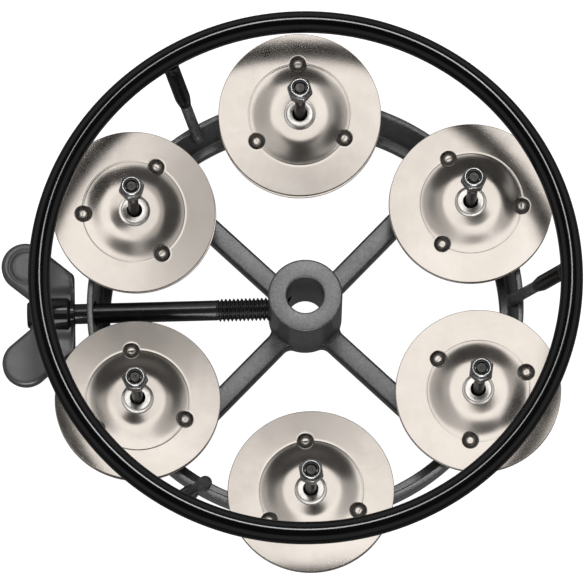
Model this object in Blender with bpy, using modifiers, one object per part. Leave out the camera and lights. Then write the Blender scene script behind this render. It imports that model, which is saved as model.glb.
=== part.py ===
"""Hi-hat tambourine: six pairs of jingles on a cast ring frame, with a striker ring held above.

Units are metres and +Z is up. The origin is on the hub's bore axis, at the height of the
frame's underside. The wing screw points along -X.
"""
import math

import bpy
import bmesh
from mathutils import Matrix, Vector

MM = 0.001

# Frame casting
RIM_HEIGHT = 13.7 * MM            # underside to the top of the rim
RIM_OUTER_TOP = 54.6 * MM         # the wall leans outwards, so it is widest at the top
RIM_OUTER_BOTTOM = 53.0 * MM
RIM_INNER_TOP = 53.0 * MM
RIM_INNER_BOTTOM = 51.4 * MM
LEDGE_INNER = 49.1 * MM
LEDGE_HEIGHT = 2.5 * MM
EDGE_BREAK = 0.5 * MM             # small chamfers on cast edges
HUB_RADIUS = 9.25 * MM
HUB_HEIGHT = 21.8 * MM
HUB_BORE_RADIUS = 4.55 * MM
HUB_FOOT_CHAMFER = 1.2 * MM
SPOKE_WIDTH = 5.4 * MM
SPOKE_BOTTOM = 1.0 * MM
SPOKE_TOP = 5.0 * MM
SPOKE_ANGLES = (45, 135, 225, 315)

# Stations, where a pin carries one pair of jingles
STATION_RADIUS = 48.65 * MM
# Each station's angle, then how its two loose discs have settled on the pin: the lean of the
# lower and of the upper disc towards +X and +Y. All in degrees.
STATIONS = (
    (90, (0.3, -10.0), (0.5, -11.5)),
    (30, (-2.2, -1.2), (-3.4, -2.6)),
    (-30, (-1.5, -0.8), (-2.9, -2.4)),
    (-90, (-0.5, 1.5), (-2.0, 2.4)),
    (-150, (1.7, 1.0), (2.9, 2.5)),
    (150, (6.0, -3.5), (6.6, -5.4)),
)
BOSS_RADIUS = 3.95 * MM
BOSS_BOTTOM = 0.3 * MM
BOSS_TOP = 11.4 * MM
PIN_RADIUS = 1.4 * MM
PIN_TOP = 38.2 * MM
PIN_TIP_RADIUS = 1.15 * MM
PIN_HEAD_RADIUS = 2.7 * MM
PIN_HEAD_HEIGHT = 1.7 * MM
PIN_HEAD_RECESS = 0.3 * MM
GAP = 0.3 * MM                    # clearance round pieces that touch
THIN_GAP = 0.15 * MM              # the same inside the small fasteners

# Jingles: dished discs that face each other rim to rim
JINGLE_RADIUS = 20.5 * MM
JINGLE_SHEET = 0.5 * MM
JINGLE_FOLD_RADIUS = 12.9 * MM    # where the flat rim meets the cup
JINGLE_SHOULDER_RADIUS = 8.0 * MM
JINGLE_RIM_RISE = 0.25 * MM
JINGLE_CUP_RISE = 0.85 * MM
JINGLE_HOLE_RADIUS = 2.9 * MM
UPPER_RIM_Z = 16.25 * MM          # underside of the upper disc's rim, at the pin's axis
RIM_SPACING = 0.95 * MM           # from the lower disc's facing side to the upper disc's
EYELET_HOLE_RADIUS = 2.05 * MM
EYELET_NECK_RADIUS = 2.65 * MM
EYELET_INNER_FLANGE_RADIUS = 3.7 * MM
EYELET_OUTER_FLANGE_RADIUS = 4.0 * MM
EYELET_OUTER_FLANGE = 1.0 * MM

# Lock nuts
NUT_TOP = 38.5 * MM
NUT_HEIGHT = 4.0 * MM
NUT_ACROSS_FLATS = 5.5 * MM
NUT_HEX_HEIGHT = 2.9 * MM
NUT_COLLAR_RADIUS = 2.45 * MM
NUT_BORE_RADIUS = 1.65 * MM
NUT_POCKET_RADIUS = 2.1 * MM
NUT_POCKET_DEPTH = 1.3 * MM
INSERT_OUTER_RADIUS = 1.95 * MM
INSERT_INNER_RADIUS = 1.55 * MM

# Striker ring on three posts
STRIKER_RADIUS = 64.95 * MM
STRIKER_TUBE_RADIUS = 2.73 * MM
STRIKER_Z = 40.6 * MM
POST_ANGLES = (0, 120, 240)
POST_FOOT = (51.37 * MM, 11.7 * MM)    # radius and height where the post's axis starts
POST_GUSSET_RADIUS = 1.85 * MM         # swelling that joins the foot to the rim's wall
POST_RADIUS = 1.4 * MM
PEG_RADIUS = 0.95 * MM                 # the post's thinner end, inside its socket
PEG_DEPTH = 9.0 * MM
SOCKET_RADIUS = 1.95 * MM
SOCKET_MOUTH_RADIUS = 1.55 * MM
SOCKET_TAPER = 2.6 * MM
SOCKET_BORE_RADIUS = 1.25 * MM
SOCKET_LENGTH = 15.0 * MM

# Wing screw that clamps the hub to a rod
SCREW_Z = 10.0 * MM
SCREW_TIP = 4.4 * MM                   # distance of the tip from the hub's axis
THREAD_RADIUS = 2.9 * MM
THREAD_END = 22.5 * MM
SHANK_RADIUS = 2.53 * MM
SHANK_END = 66.0 * MM
RIM_HOLE_RADIUS = 3.2 * MM
GRIP_FACE = 57.6 * MM                  # the grip's inner face
GRIP_THICKNESS = 3.6 * MM
GRIP_CORNER = 9.85 * MM
GRIP_LOBE = (12.3 * MM, 12.55 * MM)    # centre of each round lobe, from the face and the axis
GRIP_LOBE_RADIUS = 5.95 * MM
GRIP_WAIST = (11.3 * MM, 3.95 * MM)
GRIP_BARREL_RADIUS = 4.3 * MM

RING_STEPS = 64
HUB_STEPS = 32
SMALL_STEPS = 12
DISC_STEPS = 32


def clear_scene():
    for item in list(bpy.data.objects):
        bpy.data.objects.remove(item, do_unlink=True)


def new_collection(name):
    group = bpy.data.collections.new(name)
    bpy.context.scene.collection.children.link(group)
    return group


def new_material(name, color, roughness, metallic):
    surface = bpy.data.materials.new(name)
    surface.use_nodes = True
    shader = surface.node_tree.nodes["Principled BSDF"]
    shader.inputs["Base Color"].default_value = (*color, 1.0)
    shader.inputs["Roughness"].default_value = roughness
    shader.inputs["Metallic"].default_value = metallic
    return surface


clear_scene()
PARTS = new_collection("hihat_tambourine")
CUTTERS = new_collection("cutters")

CAST_BLACK = new_material("cast_black", (0.035, 0.035, 0.037), 0.55, 0.0)
GLOSS_BLACK = new_material("gloss_black", (0.008, 0.008, 0.009), 0.12, 0.0)
SCREW_BLACK = new_material("screw_black", (0.02, 0.02, 0.022), 0.3, 0.6)
GRIP_BLACK = new_material("grip_black", (0.04, 0.04, 0.042), 0.45, 0.0)
NICKEL = new_material("nickel", (0.72, 0.67, 0.62), 0.25, 1.0)
BRIGHT_NICKEL = new_material("bright_nickel", (0.8, 0.77, 0.72), 0.18, 1.0)
ZINC = new_material("zinc", (0.5, 0.53, 0.53), 0.3, 1.0)
PIN_BLACK = new_material("pin_black", (0.03, 0.028, 0.027), 0.35, 0.7)
NYLON = new_material("nylon", (0.02, 0.02, 0.022), 0.5, 0.0)


def place(item, collection, surface=None):
    """Link a new object, give it its material and mark guides as guides."""
    for group in list(item.users_collection):
        group.objects.unlink(item)
    collection.objects.link(item)
    if surface is not None:
        item.data.materials.clear()
        item.data.materials.append(surface)
    if collection is CUTTERS:
        item.hide_render = True
        item.display_type = "WIRE"
    return item


def smooth(item, angle=40):
    item.data.shade_smooth()
    item.data.set_sharp_from_angle(angle=math.radians(angle))
    return item


def turned(name, profile, steps, collection, surface=None, closed=True):
    """A body turned about Z. The profile is (radius, height) pairs, its outer side top to bottom."""
    mesh = bpy.data.meshes.new(name)
    count = len(profile)
    edges = [(i, i + 1) for i in range(count - 1)]
    if closed:
        edges.append((count - 1, 0))
    mesh.from_pydata([(radius, 0.0, height) for radius, height in profile], edges, [])
    item = bpy.data.objects.new(name, mesh)
    place(item, collection, surface)
    screw = item.modifiers.new("turn", "SCREW")
    screw.axis = "Z"
    screw.angle = math.tau
    screw.steps = steps
    screw.render_steps = steps
    screw.use_merge_vertices = True
    screw.merge_threshold = 0.00001
    screw.use_smooth_shade = True
    return item


def as_mesh(item):
    """Replace an object by the mesh that its modifiers or its curve make."""
    evaluated = item.evaluated_get(bpy.context.evaluated_depsgraph_get())
    mesh = bpy.data.meshes.new_from_object(evaluated)
    work = bmesh.new()
    work.from_mesh(mesh)
    bmesh.ops.remove_doubles(work, verts=work.verts, dist=0.000002)
    bmesh.ops.recalc_face_normals(work, faces=work.faces)
    work.to_mesh(mesh)
    work.free()
    name = item.name
    transform = item.matrix_world.copy()
    collection = item.users_collection[0]
    bpy.data.objects.remove(item, do_unlink=True)
    result = bpy.data.objects.new(name, mesh)
    result.matrix_world = transform
    place(result, collection)
    return result


def boolean(item, other, operation):
    step = item.modifiers.new(other.name, "BOOLEAN")
    step.operation = operation
    step.solver = "EXACT"
    step.object = other


def cylinder(name, radius, bottom, top, steps, collection, surface=None):
    """A plain upright cylinder about Z."""
    bpy.ops.mesh.primitive_cylinder_add(
        vertices=steps, radius=radius, depth=top - bottom, location=(0.0, 0.0, (top + bottom) / 2))
    item = bpy.context.object
    item.name = name
    item.data.transform(Matrix.Translation(item.location))
    item.location = (0.0, 0.0, 0.0)
    return place(item, collection, surface)


def point_along_x(item, height):
    """Turn an upright body so that its +Z runs along -X, at the given height."""
    item.rotation_euler = (0.0, -math.pi / 2, 0.0)
    item.location = (0.0, 0.0, height)
    return item


def station_places():
    """Number and foot of each pin."""
    for number, (angle, _, _) in enumerate(STATIONS, start=1):
        turn = math.radians(angle)
        yield number, Vector((STATION_RADIUS * math.cos(turn), STATION_RADIUS * math.sin(turn), 0.0))


# ---------------------------------------------------------------- frame casting

def post_axis(angle):
    """Foot, direction and socket mouth of one post, which leans out to the striker ring."""
    turn = math.radians(angle)
    outward = Vector((math.cos(turn), math.sin(turn), 0.0))
    foot = outward * POST_FOOT[0] + Vector((0.0, 0.0, POST_FOOT[1]))
    ring_centre = outward * STRIKER_RADIUS + Vector((0.0, 0.0, STRIKER_Z))
    direction = (ring_centre - foot).normalized()
    mouth = ring_centre - direction * (SOCKET_LENGTH + STRIKER_TUBE_RADIUS)
    return foot, direction, mouth


def aim(item, start, direction):
    """Put an upright body's origin at start and its +Z along direction."""
    item.rotation_euler = direction.to_track_quat("Z", "Y").to_euler()
    item.location = start
    return item


def make_spoke(angle):
    inner = (HUB_BORE_RADIUS + HUB_RADIUS) / 2
    outer = RIM_INNER_BOTTOM + GAP
    bpy.ops.mesh.primitive_cube_add(size=1.0)
    spoke = bpy.context.object
    spoke.name = f"spoke_{angle}"
    size = Vector((outer - inner, SPOKE_WIDTH, SPOKE_TOP - SPOKE_BOTTOM))
    centre = Vector(((outer + inner) / 2, 0.0, (SPOKE_TOP + SPOKE_BOTTOM) / 2))
    spoke.data.transform(Matrix.Translation(centre) @ Matrix.Diagonal((*size, 1.0)))
    spoke.rotation_euler = (0.0, 0.0, math.radians(angle))
    bevel = spoke.modifiers.new("soft_edges", "BEVEL")
    bevel.width = EDGE_BREAK
    bevel.segments = 1
    return place(spoke, CUTTERS)


def make_frame():
    rim_profile = (
        (RIM_INNER_TOP + EDGE_BREAK / 2, RIM_HEIGHT),
        (RIM_OUTER_TOP - EDGE_BREAK, RIM_HEIGHT),
        (RIM_OUTER_TOP, RIM_HEIGHT - EDGE_BREAK),
        (RIM_OUTER_BOTTOM, EDGE_BREAK),
        (RIM_OUTER_BOTTOM - EDGE_BREAK, 0.0),
        (LEDGE_INNER, 0.0),
        (LEDGE_INNER, LEDGE_HEIGHT),
        (RIM_INNER_BOTTOM, LEDGE_HEIGHT),
    )
    frame = turned("frame_casting", rim_profile, RING_STEPS, PARTS, CAST_BLACK)

    hub_profile = (
        (0.0, HUB_HEIGHT),
        (HUB_RADIUS - EDGE_BREAK / 2, HUB_HEIGHT),
        (HUB_RADIUS, HUB_HEIGHT - EDGE_BREAK / 2),
        (HUB_RADIUS, HUB_FOOT_CHAMFER),
        (HUB_RADIUS - HUB_FOOT_CHAMFER, 0.0),
        (0.0, 0.0),
    )
    boolean(frame, turned("hub_body", hub_profile, HUB_STEPS, CUTTERS, closed=False), "UNION")

    for angle in SPOKE_ANGLES:
        boolean(frame, make_spoke(angle), "UNION")

    overrun = 1.0 * MM
    bore = cylinder("hub_bore", HUB_BORE_RADIUS, -overrun, HUB_HEIGHT + overrun, HUB_STEPS, CUTTERS)
    boolean(frame, bore, "DIFFERENCE")

    screw_hole = cylinder("screw_hole", RIM_HOLE_RADIUS, 0.0, RIM_OUTER_TOP + overrun, HUB_STEPS // 2, CUTTERS)
    boolean(frame, point_along_x(screw_hole, SCREW_Z), "DIFFERENCE")

    for number, spot in station_places():
        boss = cylinder(f"boss_{number}", BOSS_RADIUS, BOSS_BOTTOM, BOSS_TOP, HUB_STEPS // 2, CUTTERS)
        boss.location = spot
        boolean(frame, boss, "UNION")

    pin_hole_profile = (
        (0.0, BOSS_TOP + overrun),
        (PIN_RADIUS + GAP, BOSS_TOP + overrun),
        (PIN_RADIUS + GAP, PIN_HEAD_RECESS + PIN_HEAD_HEIGHT + GAP),
        (PIN_HEAD_RADIUS + GAP, PIN_HEAD_RECESS + PIN_HEAD_HEIGHT + GAP),
        (PIN_HEAD_RADIUS + GAP, -overrun),
        (0.0, -overrun),
    )
    for number, spot in station_places():
        hole = turned(f"pin_hole_{number}", pin_hole_profile, SMALL_STEPS, CUTTERS, closed=False)
        hole.location = spot
        boolean(frame, hole, "DIFFERENCE")

    for angle in POST_ANGLES:
        foot, direction, mouth = post_axis(angle)
        length = (mouth - foot).length - GAP
        post_profile = (
            (0.0, length + PEG_DEPTH),
            (PEG_RADIUS, length + PEG_DEPTH),
            (PEG_RADIUS, length),
            (POST_RADIUS, length),
            (POST_RADIUS, 0.0),
            (0.0, 0.0),
        )
        post = turned(f"post_{angle}", post_profile, SMALL_STEPS, CUTTERS, closed=False)
        boolean(frame, aim(post, foot, direction), "UNION")
        outward = Vector((foot.x, foot.y, 0.0)).normalized()
        bpy.ops.mesh.primitive_uv_sphere_add(
            segments=SMALL_STEPS, ring_count=SMALL_STEPS // 2, radius=POST_GUSSET_RADIUS,
            location=foot + outward * GAP)
        gusset = bpy.context.object
        gusset.name = f"gusset_{angle}"
        boolean(frame, place(gusset, CUTTERS), "UNION")

    return frame


# ---------------------------------------------------------------- striker ring and its sockets

def make_striker_ring():
    bpy.ops.mesh.primitive_torus_add(
        major_radius=STRIKER_RADIUS, minor_radius=STRIKER_TUBE_RADIUS,
        major_segments=RING_STEPS, minor_segments=SMALL_STEPS, location=(0.0, 0.0, STRIKER_Z))
    ring = bpy.context.object
    ring.name = "striker_ring"
    place(ring, PARTS, GLOSS_BLACK)
    smooth(ring, 80)


def make_sockets():
    """Sleeves on the ring's underside. Each takes the thin end of a post."""
    bpy.ops.mesh.primitive_torus_add(
        major_radius=STRIKER_RADIUS, minor_radius=STRIKER_TUBE_RADIUS + GAP,
        major_segments=RING_STEPS, minor_segments=SMALL_STEPS, location=(0.0, 0.0, STRIKER_Z))
    saddle = bpy.context.object
    saddle.name = "ring_saddle"
    place(saddle, CUTTERS)
    profile = (
        (SOCKET_RADIUS, SOCKET_LENGTH + STRIKER_TUBE_RADIUS / 2),
        (SOCKET_RADIUS, SOCKET_TAPER),
        (SOCKET_MOUTH_RADIUS, 0.0),
        (SOCKET_BORE_RADIUS, 0.0),
        (SOCKET_BORE_RADIUS, PEG_DEPTH + GAP),
        (0.0, PEG_DEPTH + GAP),
        (0.0, SOCKET_LENGTH + STRIKER_TUBE_RADIUS / 2),
    )
    for number, angle in enumerate(POST_ANGLES, start=1):
        _, direction, mouth = post_axis(angle)
        socket = turned(f"ring_socket_{number}", profile, SMALL_STEPS, PARTS, CAST_BLACK)
        aim(socket, mouth, direction)
        boolean(socket, saddle, "DIFFERENCE")


# ---------------------------------------------------------------- wing screw

def make_clamp_screw():
    chamfer = 0.7 * MM
    profile = (
        (0.0, SHANK_END),
        (SHANK_RADIUS, SHANK_END),
        (SHANK_RADIUS, THREAD_END),
        (THREAD_RADIUS, THREAD_END - GAP),
        (THREAD_RADIUS, SCREW_TIP + chamfer),
        (THREAD_RADIUS - chamfer, SCREW_TIP),
        (0.0, SCREW_TIP),
    )
    screw = turned("clamp_screw", profile, HUB_STEPS // 2, PARTS, SCREW_BLACK, closed=False)
    point_along_x(screw, SCREW_Z)


def wing_outline():
    """Closed outline of the two-lobed grip: distance from the inner face, and from the axis."""
    lobe_x, lobe_y = GRIP_LOBE
    # The straight edges run from the corner and the waist, and touch the lobe's circle.
    def tangent(point, side):
        dx, dy = point[0] - lobe_x, point[1] - lobe_y
        return math.atan2(dy, dx) + side * math.acos(GRIP_LOBE_RADIUS / math.hypot(dx, dy))
    start = tangent((0.0, GRIP_CORNER), -1) % math.tau
    end = tangent(GRIP_WAIST, 1)
    steps = 14
    half = [(0.0, GRIP_CORNER)]
    for i in range(steps + 1):
        turn = start + (end - start) * i / steps
        half.append((lobe_x + GRIP_LOBE_RADIUS * math.cos(turn), lobe_y + GRIP_LOBE_RADIUS * math.sin(turn)))
    half.append(GRIP_WAIST)
    mirrored = [(x, -y) for x, y in reversed(half)]
    return half + mirrored


def make_wing_grip():
    curve = bpy.data.curves.new("wing_grip", "CURVE")
    curve.dimensions = "2D"
    curve.fill_mode = "BOTH"
    curve.extrude = GRIP_THICKNESS / 2
    outline = wing_outline()
    spline = curve.splines.new("POLY")
    spline.points.add(len(outline) - 1)
    for point, (x, y) in zip(spline.points, outline):
        point.co = (-GRIP_FACE - x, y, 0.0, 1.0)
    spline.use_cyclic_u = True
    item = bpy.data.objects.new("wing_grip", curve)
    place(item, PARTS)
    grip = as_mesh(item)
    place(grip, PARTS, GRIP_BLACK)
    grip.location = (0.0, 0.0, SCREW_Z)
    bevel = grip.modifiers.new("soft_edges", "BEVEL")
    bevel.width = 0.8 * MM
    bevel.segments = 1

    waist = GRIP_FACE + GRIP_WAIST[0]
    shoulder = 4.0 * MM
    barrel_profile = (
        (0.0, waist + 0.6 * MM),
        (GRIP_BARREL_RADIUS * 0.6, waist + 0.6 * MM),
        (GRIP_BARREL_RADIUS, waist - shoulder / 2),
        (GRIP_BARREL_RADIUS, GRIP_FACE + shoulder),
        (GRIP_BARREL_RADIUS * 0.8, GRIP_FACE),
        (0.0, GRIP_FACE),
    )
    barrel = turned("grip_barrel", barrel_profile, HUB_STEPS // 2, CUTTERS, closed=False)
    boolean(grip, point_along_x(barrel, SCREW_Z), "UNION")
    socket = cylinder("grip_socket", SHANK_RADIUS + GAP, GRIP_FACE - 1.0 * MM, SHANK_END + GAP,
                      HUB_STEPS // 2, CUTTERS)
    boolean(grip, point_along_x(socket, SCREW_Z), "DIFFERENCE")


# ---------------------------------------------------------------- jingles and their eyelets

def disc_profile():
    """Upper disc, cup upwards. Height 0 is the underside of its rim."""
    fold = JINGLE_RIM_RISE
    cup = JINGLE_CUP_RISE
    under = (
        (JINGLE_RADIUS, 0.0),
        (JINGLE_FOLD_RADIUS, fold),
        (JINGLE_SHOULDER_RADIUS, cup),
        (JINGLE_HOLE_RADIUS, cup),
    )
    over = [(radius, height + JINGLE_SHEET) for radius, height in reversed(under)]
    return over + list(under)


def eyelet_profile():
    """Flanged ring through the hole of the upper disc. Height 0 is the underside of the disc's rim."""
    inner_face = GAP / 2 - RIM_SPACING / 2
    under_sheet = JINGLE_CUP_RISE - THIN_GAP
    over_sheet = JINGLE_CUP_RISE + JINGLE_SHEET + THIN_GAP
    return (
        (EYELET_HOLE_RADIUS, over_sheet + EYELET_OUTER_FLANGE),
        (EYELET_OUTER_FLANGE_RADIUS, over_sheet + EYELET_OUTER_FLANGE),
        (EYELET_OUTER_FLANGE_RADIUS, over_sheet),
        (EYELET_NECK_RADIUS, over_sheet),
        (EYELET_NECK_RADIUS, under_sheet),
        (EYELET_INNER_FLANGE_RADIUS, under_sheet),
        (EYELET_INNER_FLANGE_RADIUS, inner_face),
        (EYELET_HOLE_RADIUS, inner_face),
    )


def make_jingles():
    """Each disc leans about the middle of its own eyelet, which is on the pin's axis."""
    disc, eyelet = disc_profile(), eyelet_profile()
    heights = [height for _, height in eyelet]
    middle = (max(heights) + min(heights)) / 2
    for number, spot in station_places():
        _, lower_lean, upper_lean = STATIONS[number - 1]
        levels = (
            ("upper", upper_lean, UPPER_RIM_Z + middle, 1),
            ("lower", lower_lean, UPPER_RIM_Z - RIM_SPACING - middle, -1),
        )
        for level, (lean_x, lean_y), height, side in levels:
            lean = Matrix.Rotation(math.radians(-lean_y), 4, "X") @ Matrix.Rotation(math.radians(lean_x), 4, "Y")
            seat = Matrix.Translation(spot + Vector((0.0, 0.0, height))) @ lean
            for kind, profile, steps, surface in (
                    ("jingle", disc, DISC_STEPS, NICKEL), ("eyelet", eyelet, SMALL_STEPS, BRIGHT_NICKEL)):
                points = [(radius, (z - middle) * side) for radius, z in profile][::side]
                item = turned(f"{level}_{kind}_{number}", points, steps, PARTS, surface)
                item.matrix_world = seat


# ---------------------------------------------------------------- pins and lock nuts

def make_pins():
    tip_chamfer = 0.5 * MM
    profile = (
        (0.0, PIN_TOP),
        (PIN_TIP_RADIUS, PIN_TOP),
        (PIN_RADIUS, PIN_TOP - tip_chamfer),
        (PIN_RADIUS, PIN_HEAD_RECESS + PIN_HEAD_HEIGHT),
        (PIN_HEAD_RADIUS, PIN_HEAD_RECESS + PIN_HEAD_HEIGHT),
        (PIN_HEAD_RADIUS, PIN_HEAD_RECESS),
        (0.0, PIN_HEAD_RECESS),
    )
    for number, spot in station_places():
        pin = turned(f"jingle_pin_{number}", profile, SMALL_STEPS, PARTS, PIN_BLACK, closed=False)
        pin.location = spot


def make_nuts():
    nut_bottom = NUT_TOP - NUT_HEIGHT
    pocket_floor = NUT_TOP - NUT_POCKET_DEPTH
    overrun = 1.0 * MM
    collar_profile = (
        (0.0, NUT_TOP),
        (NUT_COLLAR_RADIUS - EDGE_BREAK / 2, NUT_TOP),
        (NUT_COLLAR_RADIUS, NUT_TOP - EDGE_BREAK / 2),
        (NUT_COLLAR_RADIUS, nut_bottom + THIN_GAP),
        (0.0, nut_bottom + THIN_GAP),
    )
    hole_profile = (
        (0.0, NUT_TOP + overrun),
        (NUT_POCKET_RADIUS, NUT_TOP + overrun),
        (NUT_POCKET_RADIUS, pocket_floor),
        (NUT_BORE_RADIUS, pocket_floor),
        (NUT_BORE_RADIUS, nut_bottom - overrun),
        (0.0, nut_bottom - overrun),
    )
    insert_profile = (
        (INSERT_INNER_RADIUS, NUT_TOP - THIN_GAP),
        (INSERT_OUTER_RADIUS, NUT_TOP - THIN_GAP),
        (INSERT_OUTER_RADIUS, pocket_floor + THIN_GAP),
        (INSERT_INNER_RADIUS, pocket_floor + THIN_GAP),
    )
    collar = turned("nut_collar", collar_profile, SMALL_STEPS, CUTTERS, closed=False)
    hole = turned("nut_hole", hole_profile, SMALL_STEPS, CUTTERS, closed=False)
    corner_radius = NUT_ACROSS_FLATS / math.sqrt(3)
    master = cylinder("lock_nut_1", corner_radius, nut_bottom, nut_bottom + NUT_HEX_HEIGHT, 6, PARTS)
    boolean(master, collar, "UNION")
    boolean(master, hole, "DIFFERENCE")
    nut = as_mesh(master)
    place(nut, PARTS, ZINC)
    smooth(nut)
    for number, spot in station_places():
        copy = nut if number == 1 else bpy.data.objects.new(f"lock_nut_{number}", nut.data)
        if number > 1:
            PARTS.objects.link(copy)
        copy.location = spot
        copy.rotation_euler = (0.0, 0.0, math.radians(17 * number))
        insert = turned(f"nut_insert_{number}", insert_profile, SMALL_STEPS, PARTS, NYLON)
        insert.location = spot


make_frame()
make_striker_ring()
make_sockets()
make_clamp_screw()
make_wing_grip()
make_jingles()
make_pins()
make_nuts()
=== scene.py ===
"""Hi-hat tambourine: the detailed pieces and their materials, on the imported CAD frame.

Lengths in the constants and in every profile are millimetres. Meshes are written in metres.
"""
import math

import bmesh
import bpy
from mathutils import Matrix, Vector
from mathutils.geometry import delaunay_2d_cdt


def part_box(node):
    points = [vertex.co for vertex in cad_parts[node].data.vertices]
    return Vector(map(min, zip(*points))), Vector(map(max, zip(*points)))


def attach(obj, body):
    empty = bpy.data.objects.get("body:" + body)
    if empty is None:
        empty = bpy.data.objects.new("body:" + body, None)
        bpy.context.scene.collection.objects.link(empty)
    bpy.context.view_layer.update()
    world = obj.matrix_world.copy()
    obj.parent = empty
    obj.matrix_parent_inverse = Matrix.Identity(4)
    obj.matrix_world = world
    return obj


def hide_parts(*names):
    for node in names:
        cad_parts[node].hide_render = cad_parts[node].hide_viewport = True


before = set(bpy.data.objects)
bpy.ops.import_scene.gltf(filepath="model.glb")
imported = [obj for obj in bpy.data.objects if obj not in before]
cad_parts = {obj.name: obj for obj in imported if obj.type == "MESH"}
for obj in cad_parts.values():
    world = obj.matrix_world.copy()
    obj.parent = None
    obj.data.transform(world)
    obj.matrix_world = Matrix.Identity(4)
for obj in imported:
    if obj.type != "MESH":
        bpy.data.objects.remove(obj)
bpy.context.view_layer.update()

MM = 0.001
UP = Vector((0.0, 0.0, 1.0))

# Frame casting
RIM_HEIGHT = 13.7
RIM_OUTER_TOP, RIM_OUTER_BOTTOM = 54.6, 53.0
RIM_INNER_TOP, RIM_INNER_BOTTOM = 53.0, 51.4
LEDGE_INNER, LEDGE_HEIGHT = 49.1, 2.5
HUB_RADIUS, HUB_HEIGHT, HUB_BORE_RADIUS = 9.25, 21.8, 4.55
SPOKE_WIDTH, SPOKE_BOTTOM, SPOKE_TOP = 5.4, 1.0, 5.0
SPOKE_ANGLES = (45, 135, 225, 315)
SPOKE_HUB_FILLET, SPOKE_HUB_LIFT, SPOKE_RIM_FLARE = 2.4, 0.45, 1.6
BOSS_RADIUS, BOSS_BOTTOM, BOSS_TOP = 3.95, 0.3, 11.4
PIN_HOLE_RADIUS, PIN_RECESS_RADIUS, PIN_RECESS_TOP = 1.7, 3.0, 2.3

# Pins, nuts and jingles, at six stations
STATIONS = (1, 2, 3, 4, 5, 6)
# How each pair of loose discs has settled, in degrees: lean of the lower disc and of the upper
# disc towards +X and +Y, then the direction of the upper disc's first dimple.
SETTLED = {
    1: ((0.3, -10.0), (0.5, -11.5), 90.5),
    2: ((-2.2, -1.2), (-3.4, -2.6), 114.0),
    3: ((-1.5, -0.8), (-2.9, -2.4), 19.0),
    4: ((-0.5, 1.5), (-2.0, 2.4), 94.5),
    5: ((1.7, 1.0), (2.9, 2.5), 96.0),
    6: ((6.0, -3.5), (6.6, -5.4), 62.5),
}
PIN_RADIUS, PIN_TOP, PIN_TIP_RADIUS = 1.4, 38.2, 1.15
PIN_HEAD_RADIUS, PIN_HEAD_BOTTOM, PIN_HEAD_TOP = 2.7, 0.3, 2.0
PIN_THREAD_START, PIN_THREAD_PITCH, PIN_THREAD_ROOT = 28.0, 0.5, 1.13
PIN_KEY_HALF, PIN_KEY_DEPTH = 1.0, 1.0
DISC_RADIUS, DISC_SHEET = 20.5, 0.5
DISC_FOLD_RADIUS, DISC_CROWN_RADIUS, DISC_HOLE_RADIUS = 12.9, 6.2, 2.9
DISC_RIM_RISE, DISC_CUP_RISE, DISC_CROWN = 0.25, 0.85, 1.14
DISC_CREASE_DEPTH, DISC_CREASE_WIDTH = 0.03, 0.2
DIMPLE_CENTRE, DIMPLE_RADIUS, DIMPLE_FLOOR_RADIUS, DIMPLE_DEPTH = 12.8, 2.2, 1.05, 0.46
BEAD_TOP_RADIUS, BEAD_RADIUS, BEAD_HEIGHT = 0.8, 1.3, 0.38
SHADE_START, SHADE_END = 1.0, 2.0   # the stretch of a dimple's wall, from its middle, that is painted dark as shade
EYELET_NECK_RADIUS, EYELET_BORE_RADIUS, EYELET_REACH = 2.65, 2.05, 0.325
EYELET_MIDDLE = 1.0875              # height of the eyelet's middle over the underside of the rim
UPPER_PIVOT, LOWER_PIVOT = 17.3375, 14.2125
# The cups are deeper here than in the CAD, so the lower discs are lifted off the frame by this much.
LOWER_CLEARANCE = 0.14
LOWER_TURN = 47.0                   # degrees from the upper disc's first dimple to the lower one's
NUT_TOP, NUT_BOTTOM, NUT_ACROSS_FLATS, NUT_HEX_HEIGHT = 38.5, 34.5, 5.5, 2.9
NUT_COLLAR_RADIUS, NUT_BORE_RADIUS, NUT_POCKET_RADIUS, NUT_POCKET_DEPTH = 2.45, 1.65, 2.1, 1.3
# Height of the rolled lip at the collar's top, which is painted brighter as a highlight.
NUT_LIP_HEIGHT = 0.4
INSERT_BORE_RADIUS, INSERT_RADIUS, INSERT_TOP, INSERT_BOTTOM = 1.52, 1.95, NUT_TOP - 0.3, NUT_TOP - 1.15

# Striker ring, its posts and sockets
STRIKER_RADIUS, STRIKER_TUBE_RADIUS, STRIKER_Z = 64.95, 2.73, 40.6
POST_ANGLES = (0, 120, 240)
POST_FOOT = (51.37, 11.7)
POST_RADIUS, PEG_RADIUS, PEG_LENGTH = 1.4, 0.95, 9.0
SOCKET_LENGTH, SOCKET_RADIUS, SOCKET_MOUTH_RADIUS, SOCKET_BORE_RADIUS = 15.0, 1.95, 1.55, 1.25

# Clamp screw and grip
SCREW_Z, SCREW_TIP, THREAD_END, SHANK_END = 10.0, 4.4, 22.5, 66.0
THREAD_RADIUS, THREAD_ROOT, THREAD_PITCH, SHANK_RADIUS = 2.9, 2.3, 1.0, 2.53
SCREW_HOLE_RADIUS = 3.2
THREAD_ROOT_FLAT, THREAD_FLANK = 0.16, 0.66   # shares of half a pitch
GRIP_FACE, GRIP_HALF = 57.6, 1.8
GRIP_CORNER, GRIP_LOBE, GRIP_LOBE_RADIUS, GRIP_WAIST = 9.85, (12.3, 12.55), 5.95, (11.3, 3.95)
GRIP_BARREL_RADIUS, GRIP_BORE_RADIUS, GRIP_PLUG_RADIUS = 4.3, 2.83, 0.3
GRIP_EDGE_ROUND, GRIP_GROOVE_RADIUS, GRIP_GROOVE_DEPTH = 1.0, 3.87, 0.20
GRIP_STEP_RADIUS, GRIP_STEP_DEPTH = 4.55, 0.10
GRIP_MARK = (GRIP_LOBE[0] - 0.3, GRIP_LOBE[1] - 0.3)   # middle of the plain ring-shaped groove
GRIP_GRID = 0.5

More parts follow.
